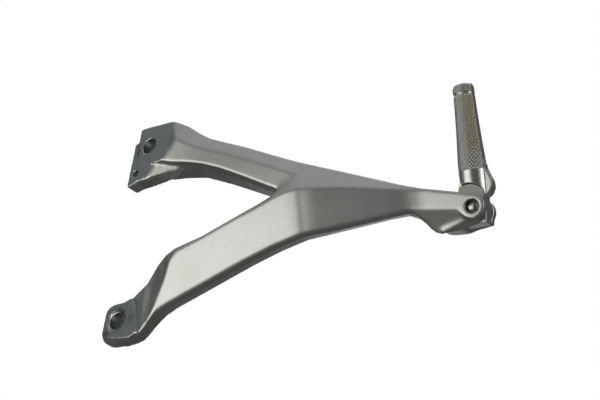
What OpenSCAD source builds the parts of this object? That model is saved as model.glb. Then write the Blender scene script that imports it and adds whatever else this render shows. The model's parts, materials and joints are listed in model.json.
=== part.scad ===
// Passenger footrest bracket of a motorcycle: a cast aluminium Y with two mounting lugs and a
// clevis, and a folding knurled footpeg on a domed pin. Millimetres, X along the arms, Z up.
// Every outline is drawn from the footpeg's pin, where it meets the near ear's face, and the
// whole part is then moved so that the upper mounting hole is the origin.

/* [Layout] */
// Distance along X from the upper mounting hole to the footpeg pin
pin_across = 238; // [220:1:260]
// Height of the upper mounting hole above the footpeg pin
pin_drop = 86.5; // [75:0.5:100]
// How far the near ear's face lies behind the upper mounting hole's face centre
ear_setback = 1.5; // [0:0.5:4]
// Angle between the mounting bolts and the footpeg pin
bolt_skew = 22.7; // [18:0.1:26]
// Lower mounting hole, distance along X from the footpeg pin
lower_across = 271.5; // [265:0.5:278]
// Lower mounting hole, height below the footpeg pin
lower_drop = 40; // [36:0.5:44]

/* [Mounting lugs] */
// Diameter of the upper mounting hole
upper_hole_d = 12; // [9:0.5:14]
// Diameter of the lower mounting hole
lower_hole_d = 12.5; // [9:0.5:14]
// Diameter across the lower hole's countersunk rim
lower_rim_d = 16; // [15:0.5:18]
// Diameter of the small hole in the foot tab
tab_hole_d = 5; // [3:0.5:6]
// Thickness of both lugs along their bolts
lug_t = 13; // [11:0.5:15]

/* [Arms] */
// Depth of the cast arms, front to back
arm_depth = 18; // [15:0.5:20]
// How far the lower arm's face stands in front of the near ear's face
arm_step = 19; // [16:0.5:22]
// How far the upper arm's face stands in front of the near ear's face
upper_step = 8.5; // [7:0.5:10]

/* [Clevis] */
// Width of the clevis over both ears
clevis_w = 31; // [29:0.5:34]
// Thickness of each ear
ear_t = 7.5; // [6.5:0.25:8.5]
// Radius of the ears' round ends
ear_r = 8.8; // [8.5:0.1:9.5]
// Diameter of the pin's hole through the ears
pin_hole_d = 6.5; // [6:0.1:7]
// Diameter of the counterbore for the pin's head
cbore_d = 9.6; // [9.2:0.1:10.5]
// Depth of the counterbore
cbore_t = 4; // [3:0.25:4.5]

/* [Footpeg] */
// Length of the footpeg from its pin to its tip
peg_l = 89; // [87:0.5:92]
// Radius of the knurled grip at its root
grip_r = 10.2; // [9.8:0.1:10.5]
// Radius of the knurled grip at its tip
tip_r = 7.9; // [7.6:0.1:8.4]
// Width of the knuckle between the ears
knuckle_w = 12.6; // [11:0.1:13.2]
// Radial clearance between the knuckle and its pin
run_gap = 0.05; // [0.02:0.01:0.1]

/* [Hidden] */

// The pin is a light press in the ears
pin_d = pin_hole_d;
pin_end = clevis_w + 6.5;
head_r = 3.9;
head_y = 1.4;
split_r = 0.9;
taper = grip_r - tip_r;
split_y = clevis_w + 3.6;
washer_t = 1.2;
wave_t = 0.5;
wave_r = 6.2;
peg_y = ear_t + 0.4 + knuckle_w / 2;
back_ear_y = clevis_w - ear_t;
slot_floor = -9.2;
cheek_r = 13.4;
// Angle from the unfolded footpeg to where its grip comes to rest over the arm
swing_end = 45;
upper_at = [-pin_across, -ear_setback, pin_drop];
lower_at = [-lower_across, -7, -lower_drop];

module from_pin() {
    translate([pin_across, ear_setback, -pin_drop])
        children();
}

// Turns children so that their Y runs along a mounting bolt, from the face into the lug
module along_bolt(at) {
    translate(at)
        rotate(a = -bolt_skew, v = [0.8, 0, 0.6])
            children();
}

// A plate with its front face at y = y0 and its back at y = y0 + t, outline in X and Z
module plate(outline, y0, t) {
    translate([0, y0 + t, 0])
        rotate([90, 0, 0])
            linear_extrude(height = t)
                polygon(outline);
}

// A cylinder along Y from y0
module rod(r, y0, t, fn = 64) {
    translate([0, y0 + t, 0])
        rotate([90, 0, 0])
            cylinder(r = r, h = t, $fn = fn);
}

// Solid through a list of rings that all have the same number of points, each end closed by
// triangles from its middle
module loft(rings) {
    n = len(rings[0]);
    total = n * len(rings);
    first = [for (i = [0:n - 1]) [total, i, (i + 1) % n]];
    final = [for (i = [0:n - 1]) [total + 1, total - n + (i + 1) % n, total - n + i]];
    sides = [for (k = [0:len(rings) - 2], i = [0:n - 1], half = [0, 1])
        let (a = k * n + i, b = k * n + (i + 1) % n)
        half == 0 ? [b, a, a + n] : [b, a + n, b + n]];
    polyhedron(concat([for (ring = rings) each ring], [middle(rings[0]), middle(rings[len(rings) - 1])]),
        concat(first, sides, final), convexity = 6);
}

function middle(ring) = [for (i = [0:2]) [for (p = ring) p[i]] * [for (p = ring) 1] / len(ring)];

// Solid through rings set round a closed hoop, the last one next to the first
module hoop(rings) {
    n = len(rings[0]);
    total = n * len(rings);
    polyhedron([for (ring = rings) each ring], [for (k = [0:len(rings) - 1], i = [0:n - 1], half = [0, 1])
        let (a = k * n + i, b = k * n + (i + 1) % n)
        half == 0 ? [b, a, (a + n) % total] : [b, (a + n) % total, (b + n) % total]], convexity = 6);
}

// One section of an arm. top is the outer top edge [x, y, z], crease is where the front face
// starts below it, foot is the bottom edge [x, z], face_y the front face's depth at the foot,
// back_y the depth of the back and rise how much higher the bottom is there.
function arm_ring(top, crease, foot, face_y, back_y, rise = 0.6) = [
    [top[0], max(back_y, top[1] + 8), top[2]],
    top,
    crease,
    [foot[0], face_y, foot[1] + 3],
    [foot[0], face_y + 1, foot[1] + 1],
    [foot[0], face_y + 3, foot[1]],
    [foot[0], back_y, foot[1] + rise]
];

lower_face = -arm_step;
lower_back = lower_face + arm_depth;
link_slope = arm_step / 77;
function link_y(x) = x < -117 ? lower_face : min(0, lower_face + (x + 117) * link_slope);
function link_section(x, top_z, crease_z, foot_z, rise = 0.6) = arm_ring([x, 1.5, top_z],
    [x, link_y(x), crease_z], [x, foot_z], link_y(x), link_y(x) + arm_depth + 1, rise);

// Where the two arms join the link, all three share the bevel's line from its top to its crease
joint_x = -117;
joint_top = 51.6;
joint_crease = 29.4;
function bevel_z(y) = joint_top - (1.5 - y) * (joint_top - joint_crease) / (1.5 - lower_face);

// The lower arm from its lug to the crotch
module lower_arm() {
    loft([
        arm_ring([-262, -2, -29], [-260, -4, -32], [-258, -54], -12.5, -2),
        arm_ring([-256, -6.2, -25], [-252, -8.7, -30], [-247.5, -56], -17.5, -4),
        arm_ring([-244.5, -6.6, -17], [-239.4, -11.4, -26.8], [-238, -47], -18.6, -2),
        arm_ring([-234, -8, -5], [-225, lower_face, -21], [-233, -42.2], lower_face, 0),
        arm_ring([-226, -10, 1], [-218.7, lower_face, -5.5], [-222.5, -37.8], lower_face, lower_back),
        arm_ring([-216, -15, 3.6], [-213, lower_face, 0.5], [-212.6, -34.4], lower_face, lower_back),
        arm_ring([-193, -17.5, 8.2], [-193, lower_face, 6.6], [-191, -27], lower_face, lower_back),
        arm_ring([-161, -17.5, 19.3], [-161, lower_face, 17.7], [-161, -16.6], lower_face, lower_back),
        arm_ring([-139, -8.5, 30.5], [-139, lower_face, 25], [-139, -10], lower_face, lower_back),
        arm_ring([-126, -6, 42], [-126, lower_face, 28.5], [-126, -7], lower_face, lower_back),
        arm_ring([joint_x, -4, bevel_z(-4)], [joint_x, lower_face, joint_crease], [joint_x, -5], lower_face,
            lower_back)
    ]);
}

// The link slopes back from the arms to the clevis
module link() {
    loft([
        link_section(joint_x, joint_top, joint_crease, -5),
        link_section(-112, 49.6, 29, -4.4, 0.8),
        link_section(-87, 39.6, 26.7, -2.4, 2),
        link_section(-61, 29, 22.2, 0.6, 2.4),
        link_section(-46, 22.9, 18.9, 2.4, 1.6),
        link_section(-40, 20.8, 17.6, 1.9, 1),
        link_section(-32, 18, 15.7, 1, 1)
    ]);
}

// One section of the upper arm: bevel, front facet, a narrow step and the sloping underside. The
// facet leans forward by facet_lean at its foot.
facet_lean = 2;
function upper_ring(x, top_y, top_z, crease_z, facet_z, foot_z) = [
    [x, 12, top_z],
    [x, top_y, top_z],
    [x, -upper_step, crease_z],
    [x, -upper_step - facet_lean, facet_z + 1],
    [x, -upper_step - facet_lean + 1, facet_z],
    [x, 2.5 - upper_step, facet_z],
    [x, 2.5 - upper_step, facet_z - 1.6],
    [x, 12, foot_z],
    [x, 12, (top_z + foot_z) / 2]
];

module upper_arm() {
    loft([
        upper_ring(-246, -5, 112, 104, 72.5, 64),
        upper_ring(-226, -4, 106, 93.5, 70.5, 62),
        upper_ring(-216.4, -1.9, 101.7, 88.7, 67.6, 60.6),
        upper_ring(-206, 0.6, 96.2, 82.5, 65.6, 59),
        upper_ring(-198, 1.5, 89.6, 78.3, 63.6, 56.6),
        upper_ring(-190, 1.5, 84.2, 74.6, 61, 53.2),
        upper_ring(-178, 1.5, 79, 69.9, 56, 48),
        upper_ring(-162, 1.5, 72.3, 63, 47.6, 40.2),
        upper_ring(-142, 1.5, 62.8, 53.3, 36.5, 30.4),
        upper_ring(-126, 1.5, 55.4, 45.2, 28.5, 23),
        upper_ring(joint_x, 1.5, joint_top, bevel_z(-upper_step), 22, 17)
    ]);
}

// Under the machined face the casting slopes back to its bottom edge. front is the top edge of
// that slope, low its bottom edge and foot the bottom edge at the back.
function web_ring(front, low, foot) = [
    [front[0], 12, front[2] + 10],
    front,
    low,
    foot,
    [foot[0], 12.5, foot[2] + 0.5 + (12.5 - foot[1]) * 0.35]
];

module upper_web() {
    loft([
        web_ring([-252, -3.5, 70], [-249.5, -8, 58.6], [-249, 5, 55.6]),
        web_ring([-235.1, -7.5, 70.8], [-236.7, -10, 59.4], [-240, 2.9, 55.6]),
        web_ring([-226.8, -8.2, 71.8], [-226.3, -8, 61.1], [-227, -0.3, 56.2]),
        web_ring([-219.4, -6.9, 68.8], [-216.7, -6.1, 63.2], [-218.5, -2, 56.5]),
        web_ring([-211.8, -5.5, 66.8], [-210, -4.8, 64.2], [-212, 6, 58.4]),
        web_ring([-199.8, -5, 64.8], [-198.4, -4.2, 62.8], [-200, 12, 57.5])
    ]);
}

face_outline = [[-11.2, 17.4], [22, 15.1], [25.5, -0.8], [13, -16.5], [-11.2, -17]];
tab_outline = [[-14.9, 6], [-8, 6], [-8, -17], [-7.4, -21], [-5.8, -26], [-7.4, -28.8],
    [-12.8, -30.4], [-17.6, -30.6]];

// A block with its front at the bolt's face plane, cut from the arm's casting
module upper_lug() {
    difference() {
        union() {
            upper_arm();
            upper_web();
        }
        along_bolt(upper_at) {
            // Ends of the casting, left of the machined face and above it
            plate([[-80, 90], [-11.2, 90], [-11.2, -60], [-80, -60]], -40, 90);
            plate([[-80, 24.5], [22, 15.1], [22, 90], [-80, 90]], -40, 90);
            // Machined face, as far as the arm's front facet
            plate([[-80, 60], [22, 60], [22, 15.1], [25.5, -0.8], [13, -16.5], [-80, -17]], -40, 40);
        }
    }
    along_bolt(upper_at) {
        plate(face_outline, 0, lug_t);
        plate(tab_outline, 0, lug_t - 2);
    }
}

// Outline of the lower lug at its machined face, and how far each point moves by 4 mm behind it
// and by its back
lower_front = [[-9, 12.5], [-11.3, 8.4], [-11.8, -1], [-12.2, -8.5], [-9.5, -11.5], [-3.1, -13.5],
    [8, -16], [15.3, -17.1], [22.1, -14.3], [21, 0], [13.4, 15.6], [5.1, 13.8], [-3.9, 14]];
lower_mid = [[-8.6, 12.5], [-11.3, 8.4], [-13, -1], [-14.8, -9], [-12.9, -13], [-7.5, -15.6],
    [5, -16.8], [14, -17.4], [22.1, -14.3], [21, 0], [13.4, 15.6], [5.1, 13.8], [-3.9, 14]];
lower_rear = [[-8, 12.5], [-10.8, 8.4], [-12.5, -1], [-14.5, -9.5], [-14.4, -13], [-9, -14.9],
    [4, -16.2], [13, -16.3], [20.6, -14.6], [21, 0], [13.4, 15.6], [5.1, 13.8], [-3.9, 14]];

module lower_lug() {
    along_bolt(lower_at)
        loft([
            [for (p = lower_rear) [p[0], lug_t, p[1]]],
            [for (p = lower_mid) [p[0], 4, p[1]]],
            [for (p = lower_front) [p[0], 0, p[1]]]
        ]);
}

// The lower arm, cut to the plane of its lug's machined face
module lower_arm_cut() {
    difference() {
        lower_arm();
        along_bolt(lower_at)
            plate([[-40, 30], [12.8, 30], [13.4, 15.6], [20.9, 0], [22, -14.3], [15.3, -17.1], [15, -30],
                [-40, -30]], -40, 40);
    }
}

// Side outline of the near ear, without its round end
ear_outline = [[-39, 20.2], [-35, 18.9], [-21, 15.2], [-8.7, 11.7], [0, 8.8], [3, 8], [3, -8], [2, -11.6],
    [-9, -13.6], [-25, -14.4], [-29, -13], [-32, -9.6], [-35, -5], [-40, 0], [-43, 4], [-40, 12]];
// The same for the far ear and the web in front of it
back_outline = [[-46, 22.6], [-36, 19.2], [-20.7, 15.4], [-6, 10.8], [3, 8], [6, 0], [6.7, -9.7], [-4.8, -10.9],
    [-12.1, -12.6], [-25, -11.6], [-32, -6], [-40, 0], [-47, 3]];

// An ear's outline with its round end, t thick
module ear(outline, y0, t) {
    translate([0, y0 + t, 0])
        rotate([90, 0, 0])
            linear_extrude(height = t) {
                polygon(outline);
                circle(r = ear_r, $fn = 64);
            }
}

module clevis() {
    difference() {
        union() {
            difference() {
                ear(ear_outline, 0, ear_t + 1);
                // The near ear slopes back below its bright face, and leaves a boss round the pin
                difference() {
                    plate_cut();
                    rod(ear_r + 0.2, -2, ear_t + 2);
                }
                ear_bevel();
            }
            // Ridge from the boss to the ear's lower corner
            hull() {
                rod(ear_r - 1.3, 2.3, 5);
                translate([-22.5, 0, -11.6])
                    rod(2.4, 5.7, 2, 24);
            }
            ear(back_outline, ear_t, clevis_w - ear_t);
        }
        // The back steps in towards the link
        translate([-60, 0, -40])
            linear_extrude(height = 80)
                polygon([[0, 17], [20, 20], [38, clevis_w], [38, clevis_w + 10], [0, clevis_w + 10]]);
        // Slot for the knuckle, with a stop below the pin and room above it for the knuckle to turn
        translate([0, back_ear_y, 0])
            rotate([90, 0, 0])
                linear_extrude(height = back_ear_y - ear_t)
                    polygon([[slot_floor, -30], [slot_floor, -7.6], [-12.5, -4.4], [-17.8, -1.6], [-19.5, 1.5],
                        [-24, 8], [-36, 30], [30, 30], [30, -30]]);
    }
}

// Room over the clevis for the grip's root as it folds
module swing_room() {
    for (a = [swing_end:-15:0])
        rotate([0, -a, 0])
            translate([0, peg_y, 14.5])
                cylinder(r = grip_r + 0.6, h = 40, $fn = 48);
}

// Narrow bevel along the near ear's top edge, which carries on the link's
module ear_bevel() {
    edge = [[-50, 20.4, 24.9], [-36.5, 17, 19.8], [-20.2, 13.8, 15], [-6.3, 10.4, 11.2], [4.5, 7.6, 9.4]];
    loft([for (e = edge) [
        [e[0], -1.5, 2 * e[1] - e[2]],
        [e[0], 1.4, e[2]],
        [e[0], 1.4, e[2] + 6],
        [e[0], -1.5, e[2] + 6]
    ]]);
}

module plate_cut() {
    cut = [[-60, 7.8], [-43, 5.2], [-5.5, -0.9], [12, -3.8]];
    loft([for (p = cut) [
        [p[0], -1, p[1]],
        [p[0], -1, p[1] - 40],
        [p[0], 8, p[1] - 40],
        [p[0], 8, p[1] - 17],
        [p[0], 0, p[1]]
    ]]);
}

// The casting before its holes, fused to one mesh
module casting() {
    minkowski() {
        difference() {
            union() {
                link();
                lower_arm_cut();
                upper_lug();
                lower_lug();
                clevis();
            }
            swing_room();
            // Machined backs of the lugs, square to their bolts
            along_bolt(upper_at)
                plate([[-40, 40], [17, 40], [17, -40], [-40, -40]], lug_t, 30);
            along_bolt(lower_at)
                plate([[-40, 40], [15, 40], [15, -40], [-40, -40]], lug_t, 30);
        }
    }
}

module bracket() {
    color("#b9bab8")
        from_pin()
            difference() {
                casting();
                along_bolt(upper_at) {
                    rod(upper_hole_d / 2, -30, 80);
                    translate([-10.3, 0, -20.8])
                        rod(tab_hole_d / 2, -30, 80, 48);
                }
                along_bolt(lower_at) {
                    rod(lower_hole_d / 2, -30, 80);
                    rod(lower_rim_d / 2, -30, 30.8);
                }
                rod(pin_hole_d / 2, -5, clevis_w + 10);
                rod(cbore_d / 2, -5, cbore_t + 5);
            }
}

// Flat along the grip's underside, from the tip down to the heel, in X and Z
flat_outline = [[6.4, 82], [6.6, 71.6], [6.9, 64.4], [7.2, 57], [7.6, 48.6], [8.1, 41.3], [8.5, 34.2], [9, 30.6]];
heel_outline = [[9, 30.6], [10.1, 26.1], [11.7, 21.6], [12.8, 18.6], [13.1, 15.8], [12.9, 13.7], [11.4, 10.4],
    [9.4, 8.4], [7.7, 8]];
knuckle_outline = [[-8.9, -11], [6.9, -11], [7.7, 8], [7.9, 17.5], [4, 19], [0, 19.5], [-6, 20], [-9, 19],
    [-9.5, 16.4], [-10.5, 13.7], [-10.5, 4], [-8.9, 0]];

// Half profile of the neck, grip, groove and rounded tip
function grip_profile() = [[0, 9], [grip_r - 0.3, 9], [grip_r - 0.1, 18.5], [grip_r, 26], [grip_r - 0.1, 33],
    [grip_r - 0.4 * taper, 47], [grip_r - 0.8 * taper, 65], [tip_r, peg_l - 9], [tip_r - 0.7, peg_l - 8.7],
    [tip_r - 0.7, peg_l - 7.2], [tip_r + 0.1, peg_l - 6.8], [tip_r + 0.1, peg_l - 3.2],
    [tip_r - 1.3, peg_l - 1.1], [tip_r - 3.5, peg_l], [0, peg_l]];

module footpeg() {
    color("#a9aaa5")
        from_pin()
            difference() {
                union() {
                    plate(knuckle_outline, peg_y - knuckle_w / 2, knuckle_w);
                    difference() {
                        translate([0, peg_y, 0])
                            rotate_extrude($fn = 72)
                                polygon(grip_profile());
                        plate(concat([[6.2, peg_l + 5]], flat_outline, [[30, 30.6], [30, peg_l + 5]]),
                            peg_y - 20, 40);
                    }
                    plate(concat([[0, 30.6]], heel_outline, [[0, 8]]), peg_y - 5.4, 10.8);
                }
                rod(pin_d / 2 + run_gap, -5, clevis_w + 10);
                // Cheeks milled round the pin, where the neck would meet the ears
                for (y0 = [peg_y - knuckle_w / 2 - 10, peg_y + knuckle_w / 2])
                    translate([-4, 0, 4])
                        rod(cheek_r, y0, 10);
            }
}

module pivot_pin() {
    color("#8d8b82")
        from_pin()
            difference() {
                rotate([-90, 0, 0])
                    rotate_extrude($fn = 64)
                        polygon(concat(
                            [[0, head_y]],
                            [for (a = [75:-15:0]) [head_r * cos(a), head_y + head_r * 0.45 * (1 - sin(a))]],
                            [[head_r, cbore_t], [pin_d / 2, cbore_t], [pin_d / 2, pin_end - 0.6],
                                [pin_d / 2 - 0.6, pin_end], [0, pin_end]]));
                translate([0, split_y, -10])
                    cylinder(r = split_r + 0.1, h = 20, $fn = 32);
            }
}

// A steel ring bent into three waves, which loads the knuckle against the near ear
module wave_washer() {
    room = back_ear_y - peg_y - knuckle_w / 2;
    wave = (room - 0.2 - wave_t) / 2;
    inner = pin_d / 2 + 0.3;
    color("#77756d")
        from_pin()
            hoop([for (a = [0:7.5:352.5]) let (y = back_ear_y - room / 2 + wave * sin(3 * a)) [
                [inner * cos(a), y - wave_t / 2, inner * sin(a)],
                [wave_r * cos(a), y - wave_t / 2, wave_r * sin(a)],
                [wave_r * cos(a), y + wave_t / 2, wave_r * sin(a)],
                [inner * cos(a), y + wave_t / 2, inner * sin(a)]
            ]]);
}

module flat_washer() {
    color("#9b9a94")
        from_pin()
            difference() {
                rod(6.5, clevis_w, washer_t);
                rod(pin_d / 2 + 0.2, 0, clevis_w + 5);
            }
}

// Split pin through the end of the pivot pin: an eye on top and two legs spread below
module split_pin() {
    color("#9b9a94")
        from_pin()
            translate([0, split_y, 0]) {
                translate([0, 0, -pin_d / 2 - 1])
                    cylinder(r = split_r, h = pin_d + 2, $fn = 32);
                translate([0, 0, pin_d / 2 + 2.3])
                    rotate([0, 90, 0])
                        rotate_extrude($fn = 48)
                            translate([1.7, 0])
                                circle(r = split_r * 0.7, $fn = 24);
                for (side = [-1, 1])
                    translate([0, 0, -pin_d / 2 - 1])
                        rotate([0, side * 50, 0])
                            translate([0, 0, -4.5])
                                cylinder(r = split_r * 0.7, h = 5, $fn = 24);
            }
}

bracket();
footpeg();
pivot_pin();
wave_washer();
flat_washer();
split_pin();
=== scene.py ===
import json

import bmesh
import bpy
import numpy as np
from mathutils import Matrix, Vector


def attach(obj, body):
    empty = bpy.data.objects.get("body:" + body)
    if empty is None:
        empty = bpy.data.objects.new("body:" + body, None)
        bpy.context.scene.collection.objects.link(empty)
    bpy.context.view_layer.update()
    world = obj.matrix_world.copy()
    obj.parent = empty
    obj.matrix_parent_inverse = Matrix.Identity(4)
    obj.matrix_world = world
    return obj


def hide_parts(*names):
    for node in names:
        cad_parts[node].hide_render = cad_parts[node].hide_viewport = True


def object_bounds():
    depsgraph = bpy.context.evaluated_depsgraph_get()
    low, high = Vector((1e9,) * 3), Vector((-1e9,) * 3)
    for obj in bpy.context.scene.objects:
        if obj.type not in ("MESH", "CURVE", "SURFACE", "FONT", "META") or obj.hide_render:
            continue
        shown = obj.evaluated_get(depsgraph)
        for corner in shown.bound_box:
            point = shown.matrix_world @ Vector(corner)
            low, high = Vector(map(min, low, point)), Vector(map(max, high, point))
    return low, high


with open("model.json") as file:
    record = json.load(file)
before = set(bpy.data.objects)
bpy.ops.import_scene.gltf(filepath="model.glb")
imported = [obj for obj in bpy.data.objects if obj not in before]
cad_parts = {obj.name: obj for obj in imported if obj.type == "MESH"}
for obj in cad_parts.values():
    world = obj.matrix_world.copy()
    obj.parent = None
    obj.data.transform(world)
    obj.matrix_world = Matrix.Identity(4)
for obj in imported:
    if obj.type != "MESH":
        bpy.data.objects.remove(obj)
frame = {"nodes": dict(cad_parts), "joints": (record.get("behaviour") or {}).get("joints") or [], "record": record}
cad_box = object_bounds()

# View: the bracket from its front, a little from the right and from below, through a long lens about
# 1 m from the footpeg's pin. The three directions are the picture's own axes.
CAMERA_AT = (0.5001, -0.9443, -0.3097)
RIGHT = (0.915, 0.3945, -0.0844)
UP = (0.1693, -0.1856, 0.9679)
BACK = (0.3662, -0.9000, -0.2366)
camera = bpy.data.objects.new("camera", bpy.data.cameras.new("camera"))
bpy.context.scene.collection.objects.link(camera)
turn = Matrix((RIGHT, UP, BACK)).transposed().to_4x4()
camera.matrix_world = Matrix.Translation(CAMERA_AT) @ turn
camera.data.sensor_width = 36
camera.data.lens = 90
camera.data.clip_start = 0.05
camera.data.clip_end = 20
bpy.context.scene.camera = camera
bpy.context.scene.view_settings.view_transform = "Standard"


# Studio: a dim grey room that is lighter overhead, and one large soft lamp on the left that the flat
# cast faces mirror. Two smaller ones stand at the side and behind, and the floor is pale and plain.
def linear(code):
    """Turns an sRGB hex colour into linear red, green, blue and alpha."""
    c = np.array([int(code[i:i + 2], 16) for i in (1, 3, 5)]) / 255
    low = c / 12.92
    high = ((c + 0.055) / 1.055) ** 2.4
    return (*np.where(c <= 0.04045, low, high).tolist(), 1.0)


def add(tree, kind, settings=None, stops=(), **inputs):
    """Adds a node. settings are its own properties, stops are a colour ramp's two (position, hex)
    pairs, and inputs are socket values or sockets to link, with _ for a space in a socket's name and
    i0, i1 for sockets that share a name."""
    node = tree.nodes.new("ShaderNode" + kind)
    for key, value in (settings or {}).items():
        setattr(node, key, value)
    for k, (place, code) in enumerate(stops):
        node.color_ramp.elements[k].position = place
        node.color_ramp.elements[k].color = linear(code)
    for key, value in inputs.items():
        socket = node.inputs[int(key[1:]) if key[1:].isdigit() else key.replace("_", " ")]
        if isinstance(value, bpy.types.NodeSocket):
            tree.links.new(value, socket)
        else:
            socket.default_value = value
    return node


def material(name):
    """A new material with an empty node tree."""
    m = bpy.data.materials.new(name)
    m.use_nodes = True
    m.node_tree.nodes.clear()
    return m, m.node_tree


def backdrop_rays(tree, behind):
    """1 for rays that show the white backdrop: camera and transmission rays, and glossy rays to where
    the backdrop stands behind the bracket, which is where behind is 1."""
    ray = add(tree, "LightPath").outputs
    shiny = add(tree, "Math", {"operation": "MULTIPLY"}, i0=ray["Is Glossy Ray"], i1=behind)
    clear = add(tree, "Math", {"operation": "MAXIMUM"}, i0=ray["Is Transmission Ray"],
                i1=shiny.outputs[0])
    seen = add(tree, "Math", {"operation": "MAXIMUM"}, i0=ray["Is Camera Ray"], i1=clear.outputs[0])
    return seen.outputs[0]


world = bpy.data.worlds.new("studio")
bpy.context.scene.world = world
world.use_nodes = True
air = world.node_tree
air.nodes.clear()
sky = add(air, "TexCoord").outputs["Generated"]
height = add(air, "SeparateXYZ", Vector=sky)
room = add(air, "MapRange", {"interpolation_type": "SMOOTHSTEP"}, Value=height.outputs["Z"],
           From_Min=0.35, From_Max=1.0, To_Min=0.10, To_Max=0.55)
fill = add(air, "Background", Color=linear("#dde0e1"), Strength=room.outputs[0])
white = add(air, "Background", Color=(1, 1, 1, 1), Strength=1.0)
# The backdrop fills the part of the room that lies within 16 to 28 degrees of straight behind
far_side = add(air, "VectorMath", {"operation": "DOT_PRODUCT"}, i0=sky, i1=BACK)
behind = add(air, "MapRange", Value=far_side.outputs["Value"], From_Min=-0.88, From_Max=-0.96)
rays = backdrop_rays(air, behind.outputs[0])
both = add(air, "MixShader", i0=rays, i1=fill.outputs[0], i2=white.outputs[0])
add(air, "OutputWorld", Surface=both.outputs[0])

# Matt white paint: a quarter of the floor's look is lit, so that it keeps the bracket's shadow, and the
# rest is the backdrop's white, which glossy rays see on the strip at the floor's back
floor_material, tree = material("floor_matt_white")
paint = add(tree, "BsdfPrincipled", Base_Color=linear("#e9e9e8"), Roughness=0.8)
spot = add(tree, "SeparateXYZ", Vector=add(tree, "TexCoord").outputs["Object"])
behind = add(tree, "MapRange", Value=spot.outputs["Y"], From_Min=1.15, From_Max=1.2)
lift = add(tree, "Emission", Color=(1, 1, 1, 1), Strength=backdrop_rays(tree, behind.outputs[0]))
look = add(tree, "MixShader", i0=0.75, i1=paint.outputs[0], i2=lift.outputs[0])
add(tree, "OutputMaterial", Surface=look.outputs[0])
FLOOR_SIZE = (3.0, 2.4)
FLOOR_AT_X = 0.1
FLOOR_DROP = 0.35
corners = np.array([[-0.5, -0.5], [0.5, -0.5], [0.5, 0.5], [-0.5, 0.5]]) * FLOOR_SIZE
corners = np.column_stack([corners, np.zeros(4)]) + [FLOOR_AT_X, 0, cad_box[0].z - FLOOR_DROP]
mesh = bpy.data.meshes.new("floor")
mesh.from_pydata(corners.tolist(), [], [(0, 1, 2, 3)])
mesh.materials.append(floor_material)
floor = bpy.data.objects.new("floor", mesh)
bpy.context.scene.collection.objects.link(floor)

# The lamps face the middle of the bracket
LAMPS_FACE = Vector((0.11, 0, -0.06))


def soft_light(name, direction, distance, size, power, code):
    """A rectangular area lamp that stands off from the bracket's middle and faces it."""
    lamp = bpy.data.lights.new(name, "AREA")
    lamp.shape = "RECTANGLE"
    lamp.size, lamp.size_y = size
    lamp.energy = power
    lamp.color = linear(code)[:3]
    o = bpy.data.objects.new(name, lamp)
    bpy.context.scene.collection.objects.link(o)
    away = Vector(direction).normalized()
    o.location = LAMPS_FACE + away * distance
    o.rotation_euler = away.to_track_quat("Z", "Y").to_euler()


soft_light("key", (-0.55, -0.83, 0.07), 1.2, (1.2, 0.8), 4.4, "#fffefa")
soft_light("side", (0.97, -0.12, 0.08), 1.0, (0.35, 0.7), 1.6, "#ffffff")
soft_light("rear", (-0.15, 0.74, 0.66), 1.3, (0.9, 0.6), 1.8, "#ffffff")

# Bracket: one aluminium casting, blasted to a fine satin grain, with the faces of its two lugs and
# the holes machined afterwards. The copy of the CAD solid is remeshed and its cast edges worn round.
LUG_THICK = 0.013
RIM_DEEP = 0.0008
holes = {mount["name"]: mount for mount in frame["record"]["mounts"]}
BOLT = -np.array(holes["upper_hole"]["axis"])
lug_turn = Vector((0, 1, 0)).rotation_difference(Vector(BOLT))
LUG_RIGHT = np.array(lug_turn @ Vector((1, 0, 0)))
LUG_UP = np.array(lug_turn @ Vector((0, 0, 1)))
# Where each hole's axis meets the lug's front face; the lower hole starts below its shallow rim
UPPER_AT = np.array(holes["upper_hole"]["pos_m"])
LOWER_AT = np.array(holes["lower_hole"]["pos_m"]) - BOLT * (LUG_THICK + RIM_DEEP) / 2
TAB_AT = np.array(holes["tab_hole"]["pos_m"]) - BOLT * LUG_THICK / 2
PIN_AT = np.array(frame["joints"][0]["pos_m"])


def smooth_step(value, low, high):
    """0 below low, 1 above high, and 3t^2 - 2t^3 between."""
    t = np.clip((value - low) / (high - low), 0, 1)
    return t * t * (3 - 2 * t)


def bolt_frame(points, at):
    """Points in a lug's own axes: across, along the bolt from the face, and up the face."""
    d = points - at
    return d @ LUG_RIGHT, d @ BOLT, d @ LUG_UP


def on_faces(points):
    """Weight 1 on the machined faces of both lugs, front and back, and 0 elsewhere. A face reaches
    from its own left edge to the foot of the arm, 26.2 mm from its hole's axis."""
    flat = np.zeros(len(points))
    for at, left in ((UPPER_AT, -0.0185), (LOWER_AT, -0.0135)):
        x, y, z = bolt_frame(points, at)
        near = (x > left) & (x < 0.0262) & (np.abs(z + 0.004) < 0.0285)
        for depth in (0, LUG_THICK):
            flat = np.maximum(flat, near * (1 - smooth_step(np.abs(y - depth), 0.0003, 0.0007)))
    return flat


def bores():
    """Each drilled place: a point on its axis, the axis, its radius, and its first and last depth.
    They are the three holes of the lugs, the lower one's rim, and the pin's counterbore and hole."""
    pin = np.array([0, 1, 0])
    return ((UPPER_AT, BOLT, 0.006, -0.001, 0.014),
            (TAB_AT, BOLT, 0.0025, -0.001, 0.014),
            (LOWER_AT, BOLT, 0.00625, 0.0009, 0.014),
            (LOWER_AT, BOLT, 0.008, -0.001, 0.0009),
            (PIN_AT, pin, 0.0048, -0.001, 0.0039),
            (PIN_AT, pin, 0.00325, 0.0041, 0.033))


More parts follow.
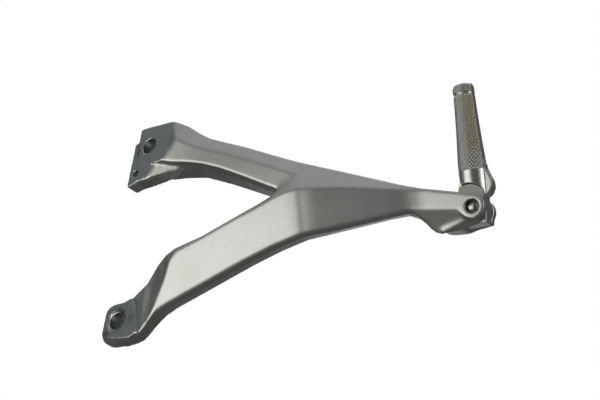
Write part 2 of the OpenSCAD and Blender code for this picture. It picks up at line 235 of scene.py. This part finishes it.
def bored(points):
    """Weight 1 on the walls of the holes and at their rims, and the points moved onto those walls."""
    weight = np.zeros(len(points))
    true = points.copy()
    for at, axis, radius, first, last in bores():
        d = points - at
        depth = d @ axis
        out = d - np.outer(depth, axis)
        r = np.linalg.norm(out, axis=1)
        wall = (np.abs(r - radius) < 0.0006) & (depth > first) & (depth < last)
        true[wall] += (out * (radius / np.maximum(r, 1e-6) - 1)[:, None])[wall]
        weight[wall] = 1
    return weight, true


def even_copy(source, name, voxel):
    """A closed copy of a CAD solid, remeshed to faces of one size: its object, vertices and edges."""
    bm = bmesh.new()
    bm.from_mesh(source.data)
    bmesh.ops.remove_doubles(bm, verts=bm.verts, dist=1e-6)
    mesh = bpy.data.meshes.new(name)
    bm.to_mesh(mesh)
    bm.free()
    o = bpy.data.objects.new(name, mesh)
    bpy.context.scene.collection.objects.link(o)
    grid = o.modifiers.new("even_faces", "REMESH")
    grid.mode = "VOXEL"
    grid.voxel_size = voxel
    done = bpy.data.meshes.new_from_object(o.evaluated_get(bpy.context.evaluated_depsgraph_get()))
    o.modifiers.clear()
    o.data = done
    done.polygons.foreach_set("use_smooth", np.ones(len(done.polygons), bool))
    v = np.empty(len(done.vertices) * 3, np.float32)
    done.vertices.foreach_get("co", v)
    e = np.empty(len(done.edges) * 2, np.int32)
    done.edges.foreach_get("vertices", e)
    return o, v.reshape(-1, 3).astype(float), e.reshape(-1, 2)


def wear_round(v, e, rounds, held, flat=0.0):
    """Moves each vertex again and again to the mean of its neighbours. It stays where held is 1, and
    where flat is 1 it only moves in the plane of the lugs' machined faces."""
    n = len(v)
    a, b = e.T
    count = np.bincount(e.ravel(), minlength=n)[:, None]
    for _ in range(rounds):
        total = np.stack([np.bincount(a, c[b], n) + np.bincount(b, c[a], n) for c in v.T], 1)
        step = 0.5 * (1 - held)[:, None] * (total / count - v)
        v = v + step - np.outer((step @ BOLT) * flat, BOLT)
    return v


def store(o, points, **weights):
    """Writes the points back to the mesh, and each weight as a point attribute for the material."""
    o.data.vertices.foreach_set("co", points.astype(np.float32).ravel())
    for name, value in weights.items():
        layer = o.data.attributes.new(name, "FLOAT", "POINT")
        layer.data.foreach_set("value", value.astype(np.float32))
    o.data.update()


bracket, v, edges = even_copy(frame["nodes"]["bracket"], "cast_bracket", voxel=0.0008)
# The pattern maker's soft blends: where the front face bends, at the arms' joint and before the
# clevis, it follows a parabola to each side instead of a sharp line. A row of BENDS is the place, how
# far the parabola reaches, and the change of slope. FRONT_FACE is that face's Y at two X, and the
# move fades out FADE_DEEP behind it
BENDS = ((0.122, 0.012, 0.247), (0.198, 0.009, -0.247))
FRONT_FACE = ((0.121, 0.198), (-0.0175, 0.0015))
FADE_DEEP = 0.007
front = 1 - smooth_step(v[:, 1] - np.interp(v[:, 0], *FRONT_FACE), 0.0, FADE_DEEP)
for bend_x, reach, slope in BENDS:
    t = np.clip(1 - np.abs(v[:, 0] - bend_x) / reach, 0, 1)
    v[:, 1] += front * slope * reach / 4 * t * t
v = wear_round(v, edges, rounds=12, held=0.9 * bored(v)[0], flat=on_faces(v))
v = bored(v)[1]
# A nick on the upper arm's crease: a rounded dent 0.5 mm deep, pushed in from the front
NICK_AT = np.array([0.0813, -0.0070, -0.0262])
NICK_DEEP = 0.0005
off_nick = np.linalg.norm(v - NICK_AT, axis=1)
v += np.outer(NICK_DEEP * np.exp(-(off_nick / 0.0011) ** 2), [0.1, 0.8, -0.6])
# Dark marks on the lugs' front faces: a broken ring round the lower hole, with a patch to its right
# and one below on the left, a strip left of the upper hole, and a fainter patch right of it
x, y, z = bolt_frame(v, LOWER_AT)
front = 1 - smooth_step(np.abs(y), 0.0004, 0.0011)
ring = np.exp(-((np.hypot(x, z) - 0.0086) / 0.0021) ** 2) * (0.6 + 0.4 * np.cos(np.arctan2(z, x) - 0.9))
side = 0.75 * np.exp(-((x - 0.0145) / 0.0025) ** 2 - ((z + 0.001) / 0.004) ** 2)
corner = np.exp(-((x + 0.0085) / 0.004) ** 2 - ((z + 0.0085) / 0.0042) ** 2)
wear = front * np.maximum(np.maximum(ring, side), corner)
x, y, z = bolt_frame(v, UPPER_AT)
front = 1 - smooth_step(np.abs(y), 0.0004, 0.0011)
left = np.exp(-((x + 0.0105) / 0.0018) ** 2 - ((z + 0.001) / 0.007) ** 2)
right = np.exp(-((x - 0.0215) / 0.0025) ** 2 - ((z + 0.0005) / 0.004) ** 2) * 0.5
wear = np.maximum(wear, front * np.maximum(left, right))
# Painted shade: the nick's dent is darkened on the same mask as the marks
off_nick = np.linalg.norm(v - NICK_AT, axis=1)
wear = np.maximum(wear, np.exp(-(off_nick / 0.0008) ** 2))
store(bracket, v, machined=np.maximum(on_faces(v), bored(v)[0]), wear=wear)


def cells(width):
    """The scale that gives a pattern cells of this width in mm, on Object coordinates in metres."""
    return 1000 / width


# Blasted cast aluminium: a pale grey metal whose reflections are broad and soft
casting, tree = material("satin_blasted_aluminium")
place = add(tree, "TexCoord").outputs["Object"]
# Fine blasted grain, drawn coarser than the real one so that it shows, over slow changes of tone
cloud = add(tree, "TexNoise", Vector=place, Scale=cells(26.3), Detail=3.0, Roughness=0.55).outputs[0]
grain = add(tree, "TexNoise", Vector=place, Scale=cells(0.556), Detail=2.0, Roughness=0.6).outputs[0]
tone = add(tree, "ValToRGB", stops=[(0.3, "#c9c9c5"), (0.7, "#d6d6d3")], Fac=cloud)
# Sparse faint specks of old dirt in the blasted skin, 1 to 2 mm across
fleck = add(tree, "TexNoise", Vector=place, Scale=cells(2.38), Detail=2.0, Roughness=0.7).outputs[0]
few = add(tree, "MapRange", Value=fleck, From_Min=0.62, From_Max=0.78, To_Max=0.3)
tone = add(tree, "Mix", {"data_type": "RGBA"}, i0=few.outputs[0], i6=tone.outputs[0],
           i7=linear("#8f8f8b"))
# Milled faces are smoother, a little darker and bluish under their oxide
cut = add(tree, "Attribute", {"attribute_name": "machined"}).outputs["Fac"]
milled = add(tree, "Mix", {"data_type": "RGBA"}, i0=cut, i6=tone.outputs[2], i7=linear("#b9bdbe"))
# Dark rubbed marks, and painted shade in the nick's dent, broken up by spots about 1 mm across
spots = add(tree, "TexNoise", Vector=place, Scale=cells(1.11), Detail=4.0, Roughness=0.7).outputs[0]
broken = add(tree, "MapRange", Value=spots, From_Min=0.44, From_Max=0.56)
marks_and_shade_mask = add(tree, "Attribute", {"attribute_name": "wear"}).outputs["Fac"]
spotted_marks_and_shade = add(tree, "Math", {"operation": "MULTIPLY"}, i0=broken.outputs[0], i1=marks_and_shade_mask)
paint = add(tree, "Mix", {"data_type": "RGBA"}, i0=spotted_marks_and_shade.outputs[0], i6=milled.outputs[2],
            i7=linear("#2c2c2a"))
rough = add(tree, "MapRange", Value=cloud, To_Min=0.36, To_Max=0.42)
finish = add(tree, "Mix", {"data_type": "FLOAT"}, i0=cut, i2=rough.outputs[0], i3=0.3)
dents = add(tree, "Bump", Strength=0.25, Distance=0.0001, Height=grain)
skin = add(tree, "BsdfPrincipled", Base_Color=paint.outputs[2], Metallic=1.0,
           Roughness=finish.outputs[0], Normal=dents.outputs[0])
add(tree, "OutputMaterial", Surface=skin.outputs[0])
bracket.data.materials.clear()
bracket.data.materials.append(casting)
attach(bracket, "bracket")
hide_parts("bracket")

# Footpeg: turned from aluminium bar with a rolled diamond knurl, a plain neck, a groove near the tip
# and a flat milled along its right side; its knuckle is milled too. The knurl is real relief.
PEG_Y = 0.0142
KNURL_STARTS = 30
KNURL_PITCH = 0.0026
KNURL_DEEP = 0.0005
# The taper: heights above the pin and the peg's radius there
TAPER = ((0.0155, 0.019, 0.033, 0.047, 0.065, 0.080), (0.0100, 0.0101, 0.0101, 0.00928, 0.00836, 0.0079))
peg, v, edges = even_copy(frame["nodes"]["footpeg"], "knurled_footpeg", voxel=0.0003)
# The pin's bore is held, and milled edges only lose their sharpness
d = v - PIN_AT
bore = 1 - smooth_step(np.hypot(d[:, 0], d[:, 2]), 0.0034, 0.0042)
v = wear_round(v, edges, rounds=5, held=0.4 + 0.6 * bore)
d = v - PIN_AT - [0, PEG_Y, 0]
radius = np.hypot(d[:, 0], d[:, 1])
profile = np.interp(d[:, 2], *TAPER)
# The knurl covers the grip and the tip's band, and stops at the groove between them and at the flat
knurl = smooth_step(radius, profile - 0.0006, profile - 0.00015)
grip = smooth_step(d[:, 2], 0.0262, 0.0272) * (1 - smooth_step(d[:, 2], 0.0795, 0.0801))
tip = smooth_step(d[:, 2], 0.0822, 0.0826) * (1 - smooth_step(d[:, 2], 0.0862, 0.0872))
knurl *= np.maximum(grip, tip)
# Two families of grooves wind opposite ways; a diamond's height is its distance from the nearer one
along = KNURL_STARTS * np.arctan2(d[:, 1], d[:, 0]) / (2 * np.pi)
rise = d[:, 2] / KNURL_PITCH
one = np.abs(along + rise - np.round(along + rise))
two = np.abs(along - rise - np.round(along - rise))
crest = np.minimum(one, two) * 2
out = np.stack([d[:, 0], d[:, 1], np.zeros(len(d))], 1) / radius[:, None]
v -= out * (KNURL_DEEP * knurl * (1 - crest))[:, None]
# A tan film on the right side of the grip, and painted shade on the knuckle's milled cheeks
tan = knurl * smooth_step(d[:, 0], -0.004, 0.006) * smooth_step(d[:, 2], 0.03, 0.045)
cheek_shade = 0.95 * (np.abs(d[:, 1]) > 0.0059) * (np.hypot(d[:, 0] + 0.004, d[:, 2] - 0.004) < 0.0133)
# Painted shade, held as a mask: down in the knurl's grooves and on the knuckle's cheeks
store(peg, v, groove=np.maximum(knurl * (1 - crest), cheek_shade), tan=tan)
# Turned aluminium: a little brighter and sharper in its reflections than the casting, with painted shade in the
# knurl
turned, tree = material("satin_turned_aluminium")
place = add(tree, "TexCoord").outputs["Object"]
cloud = add(tree, "TexNoise", Vector=place, Scale=cells(8.33), Detail=3.0, Roughness=0.6).outputs[0]
tone = add(tree, "ValToRGB", stops=[(0.3, "#d3d3cf"), (0.7, "#e0e0dc")], Fac=cloud)
worn = add(tree, "Attribute", {"attribute_name": "tan"}).outputs["Fac"]
warm = add(tree, "Mix", {"data_type": "RGBA"}, i0=worn, i6=tone.outputs[0], i7=linear("#d0c6ab"))
# Painted shade: darker down in the knurl's grooves and on the knuckle's cheeks
deep = add(tree, "Attribute", {"attribute_name": "groove"}).outputs["Fac"]
painted_shade = add(tree, "MapRange", Value=deep, From_Min=0.4, From_Max=1.0, To_Max=0.8)
paint = add(tree, "Mix", {"data_type": "RGBA"}, i0=painted_shade.outputs[0], i6=warm.outputs[2],
            i7=linear("#5c5a53"))
# Fine lathe rings, drawn 0.8 mm apart where the real ones are finer; a band repeats at pi / 10
lathe = add(tree, "TexWave", {"bands_direction": "Z"}, Vector=place, Scale=cells(0.806) * np.pi / 10,
            Distortion=0.4)
dents = add(tree, "Bump", Strength=0.12, Distance=0.00005, Height=lathe.outputs["Fac"])
skin = add(tree, "BsdfPrincipled", Base_Color=paint.outputs[2], Metallic=1.0, Roughness=0.32,
           Normal=dents.outputs[0])
add(tree, "OutputMaterial", Surface=skin.outputs[0])
peg.data.materials.clear()
peg.data.materials.append(turned)
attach(peg, "footpeg")
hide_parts("footpeg")

# Pivot pin, washers and split pin: turned, stamped or bent steel in their CAD shapes. The pin is
# rubbed bright, the wave washer is dark spring steel, and the two pieces behind are dull zinc. Each
# has small sharp highlights over a faintly speckled grey.
for name, finish_name, stops, rough_range in (
        ("pivot_pin", "rubbed_pin_steel", [(0.35, "#a5a399"), (0.65, "#c4c2ba")], (0.16, 0.26)),
        ("wave_washer", "dark_spring_steel", [(0.35, "#67655d"), (0.65, "#85837a")], (0.25, 0.38)),
        ("flat_washer", "zinc_plated_washer", [(0.35, "#8f8d80"), (0.65, "#aaa899")], (0.28, 0.42)),
        ("split_pin", "zinc_plated_split_pin", [(0.35, "#8f8d80"), (0.65, "#a9a79b")], (0.25, 0.4))):
    steel, tree = material(finish_name)
    place = add(tree, "TexCoord").outputs["Object"]
    speck = add(tree, "TexNoise", Vector=place, Scale=cells(1.43), Detail=3.0).outputs[0]
    tone = add(tree, "ValToRGB", stops=stops, Fac=speck)
    rough = add(tree, "MapRange", Value=speck, To_Min=rough_range[0], To_Max=rough_range[1])
    skin = add(tree, "BsdfPrincipled", Base_Color=tone.outputs[0], Metallic=1.0,
               Roughness=rough.outputs[0])
    add(tree, "OutputMaterial", Surface=skin.outputs[0])
    piece = frame["nodes"][name]
    piece.data.materials.clear()
    piece.data.materials.append(steel)
